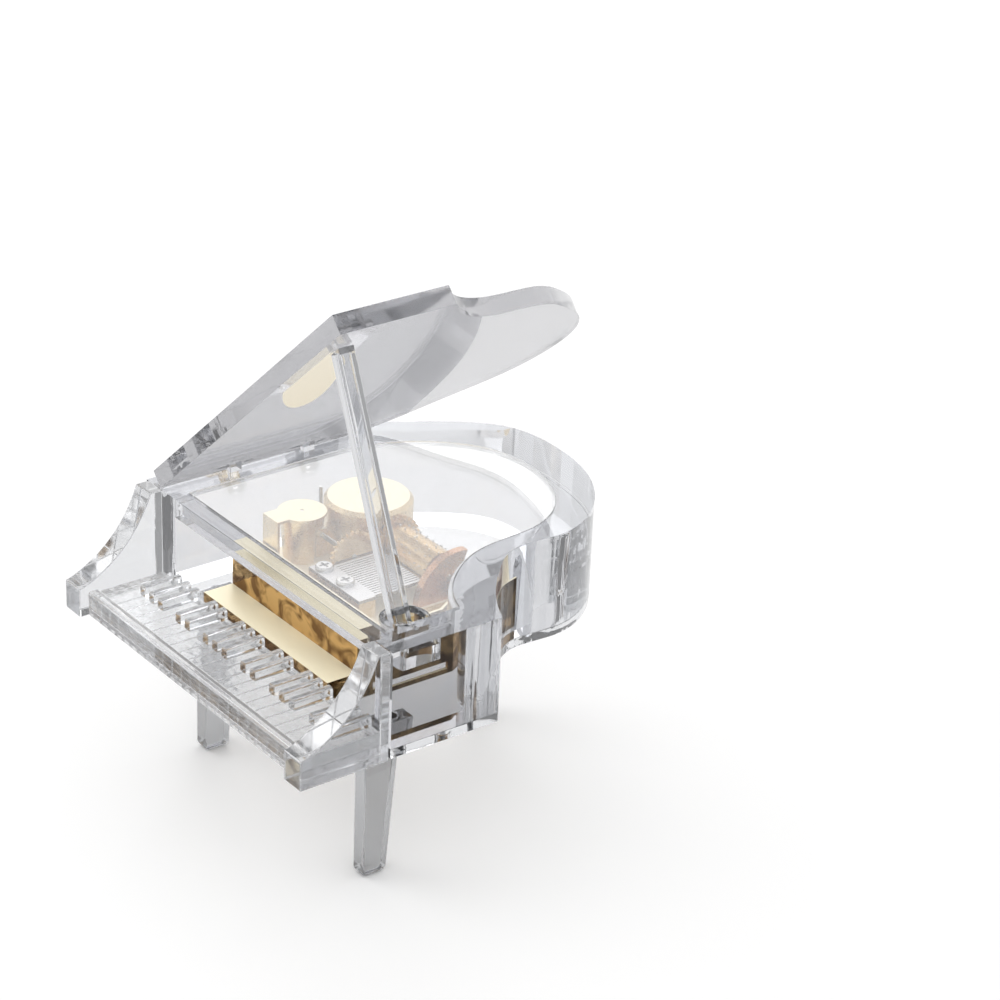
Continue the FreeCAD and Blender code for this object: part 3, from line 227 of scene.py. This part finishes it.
def finishedMetal(name, colour, dark, roughness, grainMm, depth, streak=1.0, paintedLitTop=None, cloudMm=9.0):
    # plated, turned or ground metal: cloudy between two tones, on the mirror gold a painted reflection of
    # the room, with a grain that breaks its highlights; a streak above 1 flattens the grain into level
    # lines, and one below 1 draws it out upright
    material, tree, output = newMaterial(name)
    place = addNode(tree, 'ShaderNodeTexCoord')
    squeeze = addNode(tree, 'ShaderNodeMapping', {'Vector': place.outputs['Object']},
                      Scale=(1.0, 1.0, streak))
    grain = addNode(tree, 'ShaderNodeTexNoise', {'Vector': squeeze.outputs['Vector']},
                    Scale=1 / (grainMm * mm), Detail=4.0)
    cloud = addNode(tree, 'ShaderNodeTexNoise', {'Vector': place.outputs['Object']},
                    Scale=1 / (cloudMm * mm), Detail=2.0, Distortion=1.0)
    patch = addNode(tree, 'ShaderNodeMapRange', {'Value': cloud.outputs['Fac']},
                    From_Min=metalLook['cloudFrom'], From_Max=metalLook['cloudTo'])
    tone = addNode(tree, 'ShaderNodeMix', {'Factor': patch.outputs['Result'], 'A': srgb(dark),
                                           'B': srgb(colour)}, data_type='RGBA')
    swing = addNode(tree, 'ShaderNodeMapRange', {'Value': grain.outputs['Fac']},
                    From_Min=metalLook['grainFrom'], From_Max=metalLook['grainTo'],
                    To_Min=roughness * metalLook['smoothest'], To_Max=roughness * metalLook['roughest'])
    tint, rough, metallic = tone.outputs['Result'], swing.outputs['Result'], 1.0
    if paintedLitTop:
        # the level faces are brushed, so rougher and less metallic, and painted paler as lit from above;
        # the upright ones keep the finish of the sheet
        facing = addNode(tree, 'ShaderNodeSeparateXYZ', {'Vector': place.outputs['Normal']})
        level = addNode(tree, 'ShaderNodeMapRange', {'Value': facing.outputs['Z']},
                        From_Min=metalLook['levelFrom'], From_Max=metalLook['levelFull'])
        topTone = addNode(tree, 'ShaderNodeMix', {'Factor': level.outputs['Result'], 'A': tint,
                                                  'B': srgb(paintedLitTop)}, data_type='RGBA')
        brushed = addNode(tree, 'ShaderNodeMapRange', {'Value': level.outputs['Result']},
                          To_Min=0.0, To_Max=metalLook['levelRough'])
        roughTop = addNode(tree, 'ShaderNodeMath', {0: brushed.outputs['Result'], 1: rough},
                           operation='MAXIMUM')
        paler = addNode(tree, 'ShaderNodeMapRange', {'Value': level.outputs['Result']},
                        To_Min=1.0, To_Max=metalLook['levelShine'])
        tint, rough, metallic = topTone.outputs['Result'], roughTop.outputs[0], paler.outputs['Result']
    bump = addNode(tree, 'ShaderNodeBump', {'Height': grain.outputs['Fac']}, Strength=depth,
                   Distance=max(metalLook['leastReliefMm'], metalLook['reliefShare'] * grainMm) * mm)
    shader = addNode(tree, 'ShaderNodeBsdfPrincipled', {'Base Color': tint, 'Roughness': rough,
                                                        'Metallic': metallic,
                                                        'Normal': bump.outputs['Normal']})
    tree.links.new(shader.outputs['BSDF'], output.inputs['Surface'])
    return material


# cast plates, flame and wheel polished: glassy, with grey gathered in their edges
wallAcrylic = clearAcrylic('castAcrylicWalls', '#e5e6e8')
# the same plate, a little deeper where the walls are seen through each other
caseAcrylic = clearAcrylic('castAcrylicCase', '#dcdde0', sawn=True)
# plate with a fine haze: it greys what is behind it, and its reflections are a little soft
lidAcrylic = clearAcrylic('castAcrylicLid', '#bcbcbf', waveDepth=0.006, roughness=0.02)
# sawn and lightly buffed: soft reflections along the cheeks' curves
cheekAcrylic = clearAcrylic('castAcrylicCheeks', '#e5e6e8', waveDepth=0.004, roughness=0.03)
# moulded, with sink marks: the keys ripple and scatter what lies under them
keyAcrylic = clearAcrylic('mouldedAcrylicKeys', '#f0f1f2', waveDepth=0.5, roughness=0.09, waveMm=2.5)
# moulded bed: the same ripples, and round cells along its front
keybedAcrylic = clearAcrylic('mouldedAcrylicKeybed', '#f8f8f9', waveDepth=0.5, roughness=0.03, waveMm=2.5,
                             cellMm=3.6)
# small polished bars: bright lines along their edges
sharpAcrylic = clearAcrylic('polishedAcrylicSharps', '#f6f7f8', waveDepth=0.03, roughness=0.03)
# tapered square bar: darker, because light crosses the whole thickness of the leg
legAcrylic = clearAcrylic('castAcrylicLegs', '#b9babc')
coverAcrylic = hazyAcrylic('extrudedAcrylicCover')
# folded sheet with a bright gold plating: the brown blotches in its colour are a painted reflection of the
# room in its upright faces, and its level faces are painted pale cream, as lit from above
mirrorGold = finishedMetal('mirrorGoldSheet', '#cfac78', '#745532', 0.05, 7.0, 1.0, paintedLitTop='#fff6d8',
                           cloudMm=6.0)
# satin plating on castings and stampings: pale and even, with no sharp reflection; its level faces are
# painted paler still, as lit from above
satinGold = finishedMetal('satinGoldPlate', '#f5e2bd', '#edd4a6', 0.28, 0.35, 0.06, paintedLitTop='#fff2d2')
# plating with more copper in it: a pink cast beside the other gold
roseGold = finishedMetal('roseGoldPlate', '#e2b088', '#d69c70', 0.26, 0.35, 0.06)
# lathe work: fine level lines in the surface break each highlight up
turnedBrass = finishedMetal('turnedBrass', '#ecd0a0', '#dfba82', 0.24, 0.3, 0.12, streak=6.0)
# the turned steel's level faces are painted paler, as lit from above
turnedSteel = finishedMetal('turnedSteel', '#d2d3d5', '#b4b5b8', 0.25, 0.25, 0.15, streak=5.0,
                            paintedLitTop='#eeeef0')
# ground spring steel: cool grey with a fine straight grain, and painted almost white where it lies level,
# as lit from above
groundSteel = finishedMetal('groundCombSteel', '#cacacc', '#a5a5a8', 0.26, 0.3, 0.15, streak=0.2,
                            paintedLitTop='#e9e9ec')
print('materials made')


# millimetres by which the edges of each copied node are broken; the other nodes stay as they come
edges = dict(case_body=0.4, lid=0.35, cheek_left=0.5, cheek_right=0.5, bottom_plate=0.3, top_cover=0.12,
             keybed=0.35, prop_stick=0.0, leg_front_left=1.1, leg_front_right=1.1, leg_rear=1.1,
             white_keys=0.06, black_keys=0.0, key_slip=0.12, movement_box=0.12)
looks = dict(case_body=caseAcrylic, lid=lidAcrylic, cheek_left=cheekAcrylic, cheek_right=cheekAcrylic,
             bottom_plate=wallAcrylic, top_cover=coverAcrylic, keybed=keybedAcrylic,
             prop_stick=wallAcrylic, leg_front_left=legAcrylic, leg_front_right=legAcrylic,
             leg_rear=legAcrylic, white_keys=keyAcrylic, black_keys=sharpAcrylic, key_slip=sharpAcrylic,
             movement_box=mirrorGold, lid_hinge_pins=turnedSteel, prop_pin=turnedSteel,
             bedplate=satinGold, spacers=turnedBrass, movement_screws=turnedSteel,
             spring_housing=satinGold, mainspring=turnedSteel, spring_arbor=turnedSteel,
             winding_key=satinGold, great_wheel=turnedBrass, cylinder=turnedBrass,
             cylinder_pins=turnedSteel, cylinder_shaft=turnedSteel, cylinder_gear=turnedBrass,
             cylinder_pinion=turnedBrass, third_arbor=turnedSteel, third_wheel=turnedBrass,
             worm_wheel=turnedBrass, left_bearing=satinGold, right_bearing=roseGold,
             third_bearings=satinGold, comb_base=satinGold, comb=groundSteel, comb_screws=turnedSteel,
             governor_cover=satinGold, governor_spindle=turnedSteel, air_brake=turnedSteel,
             stop_lever=turnedSteel)
jointGap = -0.02  # millimetres: the thin glue line between clear parts
for nodeName, material in looks.items():
    clear = 'Acrylic' in material.name
    gap = jointGap if clear else 0.0
    obj = softCopy(nodeName, edges[nodeName], gap) if nodeName in edges else frame['nodes'][nodeName]
    paint(obj, material)
    if clear and not nodeName.startswith('leg'):
        # light falls straight through clear plates, so only the legs and the metal darken the table
        obj.visible_shadow = False
        obj.visible_diffuse = False
print('CAD parts dressed')


# the blank label under the lid: millimetres along the lid from its hinge, and back from its front edge
label = dict(middle=69.3, back=10.7, halfLong=24.0, halfWide=7.2, turnDegrees=-21.4, cutAt=4.6, thick=0.08,
             sides=96, colour='#f7eedb', fibre='#f9f2e0', fibreMm=0.5, relief=0.1, reliefMm=0.02,
             roughness=0.6)
# how the lid stands in the frame: its angle, and millimetres from the hinge's axis to its underside
lidStand = dict(openDegrees=42.0, underside=2.5)


def labelPaper():
    # matt cream film with a faint fibre: reads as paper, not plastic
    material, tree, output = newMaterial('creamLabelFilm')
    place = addNode(tree, 'ShaderNodeTexCoord')
    fibre = addNode(tree, 'ShaderNodeTexNoise', {'Vector': place.outputs['Object']},
                    Scale=1 / (label['fibreMm'] * mm), Detail=3.0)
    tone = addNode(tree, 'ShaderNodeMix', {'Factor': fibre.outputs['Fac'], 'A': srgb(label['colour']),
                                           'B': srgb(label['fibre'])}, data_type='RGBA')
    bump = addNode(tree, 'ShaderNodeBump', {'Height': fibre.outputs['Fac']}, Strength=label['relief'],
                   Distance=label['reliefMm'] * mm)
    shader = addNode(tree, 'ShaderNodeBsdfPrincipled', {'Base Color': tone.outputs['Result'],
                                                        'Normal': bump.outputs['Normal']},
                     Roughness=label['roughness'])
    tree.links.new(shader.outputs['BSDF'], output.inputs['Surface'])
    return material


hinge = next(joint for joint in frame['record']['behaviour']['joints'] if joint['name'] == 'lid_hinge')
hingeLine = Matrix.Translation(Vector((hinge['pos_m'][0], at(0, 0, 0).y, hinge['pos_m'][2])))
opened = Matrix.Rotation(math.radians(lidStand['openDegrees']), 4, Vector(hinge['axis']))
bpy.ops.object.select_all(action='DESELECT')
bpy.ops.mesh.primitive_cylinder_add(vertices=label['sides'], radius=1.0, depth=label['thick'] * mm,
                                    location=(0, 0, 0))
plate = bpy.context.object
plate.name = 'lidLabel'
size = Matrix.Diagonal((label['halfLong'] * mm, label['halfWide'] * mm, 1, 1))
slant = Matrix.Rotation(math.radians(label['turnDegrees']), 4, 'Z')
onLid = Matrix.Translation(Vector((label['middle'] * mm, label['back'] * mm,
                                   -(lidStand['underside'] + label['thick']) * mm)))
plate.data.transform(onLid @ slant @ size)
bpy.ops.object.mode_set(mode='EDIT')
bpy.ops.mesh.select_all(action='SELECT')
bpy.ops.mesh.bisect(plane_co=(0, label['cutAt'] * mm, 0), plane_no=(0, 1, 0), clear_inner=True,
                    use_fill=True)
bpy.ops.object.mode_set(mode='OBJECT')
plate.data.transform(hingeLine @ opened)
paint(plate, labelPaper())
plate.select_set(False)
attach(plate, 'lid')
print('label made')


# clear parts pass a ray on many times before it leaves them
bounces = dict(clear=48, glossy=24)
lightPaths = bpy.context.scene.cycles
lightPaths.max_bounces = bounces['clear']
lightPaths.transmission_bounces = bounces['clear']
lightPaths.glossy_bounces = bounces['glossy']

# millimetres: the table's side, and the spacing of its very faint flecks
floorLook = dict(sizeMm=8000, fleckMm=200.0, pale='#fdfdfd', white='#ffffff')
bpy.ops.mesh.primitive_plane_add(size=floorLook['sizeMm'] * mm, location=(0, 0, 0))
floor = bpy.context.object
floor.name = 'floor'
floor.select_set(False)
# white paper table top: all but even, and it keeps the soft shadow of the legs
floorPaint, tree, output = newMaterial('paleFloor')
place = addNode(tree, 'ShaderNodeTexCoord')
fleck = addNode(tree, 'ShaderNodeTexNoise', {'Vector': place.outputs['Object']},
                Scale=1 / (floorLook['fleckMm'] * mm))
floorTone = addNode(tree, 'ShaderNodeMix', {'Factor': fleck.outputs['Fac'], 'A': srgb(floorLook['pale']),
                                            'B': srgb(floorLook['white'])}, data_type='RGBA')
floorShader = addNode(tree, 'ShaderNodeBsdfDiffuse', {'Color': floorTone.outputs['Result']})
tree.links.new(floorShader.outputs['BSDF'], output.inputs['Surface'])
paint(floor, floorPaint)

# the room is white wherever it is seen, reflected or looked through, and a little dimmer as a lamp
skyStrength = 0.93
world = bpy.data.worlds.new('studioWorld')
bpy.context.scene.world = world
world.use_nodes = True
sky = world.node_tree
sky.nodes.clear()
path = addNode(sky, 'ShaderNodeLightPath')
seen = addNode(sky, 'ShaderNodeMath', {0: path.outputs['Is Camera Ray'], 1: path.outputs['Is Glossy Ray']},
               operation='MAXIMUM')
seenThrough = addNode(sky, 'ShaderNodeMath', {0: seen.outputs[0], 1: path.outputs['Is Transmission Ray']},
                      operation='MAXIMUM')
strength = addNode(sky, 'ShaderNodeMapRange', {'Value': seenThrough.outputs[0]},
                   To_Min=skyStrength, To_Max=1.0)
background = addNode(sky, 'ShaderNodeBackground', {'Strength': strength.outputs['Result']},
                     Color=(1, 1, 1, 1))
addNode(sky, 'ShaderNodeOutputWorld', {'Surface': background.outputs['Background']})

lookAt = (0, 30, 60)  # drawing millimetres: the middle of the case, where lamps and flags point
# drawing millimetres, and watts
softboxes = dict(
    keySoftbox=dict(place=(-500, -350, 700), size=(500, 500), power=0.8),
    fillSoftbox=dict(place=(700, -300, 500), size=(300, 600), power=0.2),
    backSoftbox=dict(place=(-648, 480, 492), size=(450, 450), power=0.9))
for name, box in softboxes.items():
    lamp = bpy.data.lights.new(name, 'AREA')
    lamp.shape = 'RECTANGLE'
    lamp.size, lamp.size_y = box['size'][0] * mm, box['size'][1] * mm
    lamp.energy = box['power']
    obj = bpy.data.objects.new(name, lamp)
    bpy.context.collection.objects.link(obj)
    obj.location = at(*box['place'])
    obj.rotation_euler = (at(*lookAt) - obj.location).to_track_quat('-Z', 'Y').to_euler()


# drawing millimetres: flags stand round the table above the line of sight, and mats lie on it, face up
cards = dict(
    leftFlag=dict(place=(-700, 100, 450), size=(500, 500), grey='#8c8c8c'),
    rightFlag=dict(place=(600, 500, 420), size=(300, 450), grey='#808080'),
    topFlag=dict(place=(0, 100, 900), size=(300, 500), grey='#707070'),
    goldFlag=dict(place=(-432, -300, 345), size=(260, 180), grey='#4a3a30', pale='#d8c8b4'),
    frontMat=dict(place=(0, -152, 2), aim=(0, -152, 400), size=(520, 215), grey='#a8a8a8'),
    rightMat=dict(place=(188, 142, 2), aim=(188, 142, 400), size=(225, 375), grey='#8c8c8c'))
# a mottled card's pale patches: millimetres apart, and where in the noise they begin and are full
patches = dict(apartMm=30.0, fadeIn=0.47, full=0.6)


def greyCard(name, place, size, grey, aim=lookAt, pale=None):
    # matt card, seen only in reflections and through clear parts, and mottled if it has a pale colour
    bpy.ops.mesh.primitive_plane_add(size=1, location=(0, 0, 0))
    card = bpy.context.object
    card.name = name
    turn = (at(*aim) - at(*place)).to_track_quat('-Z', 'Y').to_matrix().to_4x4()
    spread = Matrix.Diagonal((size[0] * mm, size[1] * mm, 1, 1))
    card.data.transform(Matrix.Translation(at(*place)) @ turn @ spread)
    cardPaint, tree, output = newMaterial(name + 'Paint')
    dull = addNode(tree, 'ShaderNodeBsdfDiffuse', Color=srgb(grey))
    if pale:
        spot = addNode(tree, 'ShaderNodeTexCoord')
        clouds = addNode(tree, 'ShaderNodeTexNoise', {'Vector': spot.outputs['Object']},
                         Scale=1 / (patches['apartMm'] * mm), Detail=2.0)
        sharper = addNode(tree, 'ShaderNodeMapRange', {'Value': clouds.outputs['Fac']},
                          From_Min=patches['fadeIn'], From_Max=patches['full'])
        mottled = addNode(tree, 'ShaderNodeMix', {'Factor': sharper.outputs['Result'], 'A': srgb(grey),
                                                  'B': srgb(pale)}, data_type='RGBA')
        tree.links.new(mottled.outputs['Result'], dull.inputs['Color'])
    tree.links.new(dull.outputs['BSDF'], output.inputs['Surface'])
    paint(card, cardPaint)
    card.visible_camera = False
    card.visible_shadow = False
    card.visible_diffuse = False
    card.select_set(False)


for name, card in cards.items():
    greyCard(name, **card)
print('room, lamps and cards set')

# drawing millimetres, degrees, and the lens and sensor in millimetres
view = dict(place=(547.956, -360.909, 417.049), azimuth=55.06, elevation=28.91, roll=0.84, lens=108.33,
            sensor=36, shift=(0.1647, 0.1295), nearMm=10)
cameraData = bpy.data.cameras.new('mainCamera')
cameraData.lens = view['lens']
cameraData.sensor_width = view['sensor']
cameraData.shift_x, cameraData.shift_y = view['shift']
cameraData.clip_start = view['nearMm'] * mm
camera = bpy.data.objects.new('mainCamera', cameraData)
bpy.context.collection.objects.link(camera)
azimuth, elevation, roll = (math.radians(view[k]) for k in ('azimuth', 'elevation', 'roll'))
# back points from the music box to the camera
back = Vector((math.sin(azimuth) * math.cos(elevation), -math.cos(azimuth) * math.cos(elevation),
               math.sin(elevation)))
right = Vector((math.cos(azimuth), math.sin(azimuth), 0))
up = back.cross(right)
rolledRight = right * math.cos(roll) + up * math.sin(roll)
rolledUp = up * math.cos(roll) - right * math.sin(roll)
turned = Matrix((rolledRight, rolledUp, back)).transposed().to_4x4()
camera.matrix_world = Matrix.Translation(at(*view['place'])) @ turned
bpy.context.scene.camera = camera
bpy.context.scene.view_settings.view_transform = 'Standard'
print('camera set')
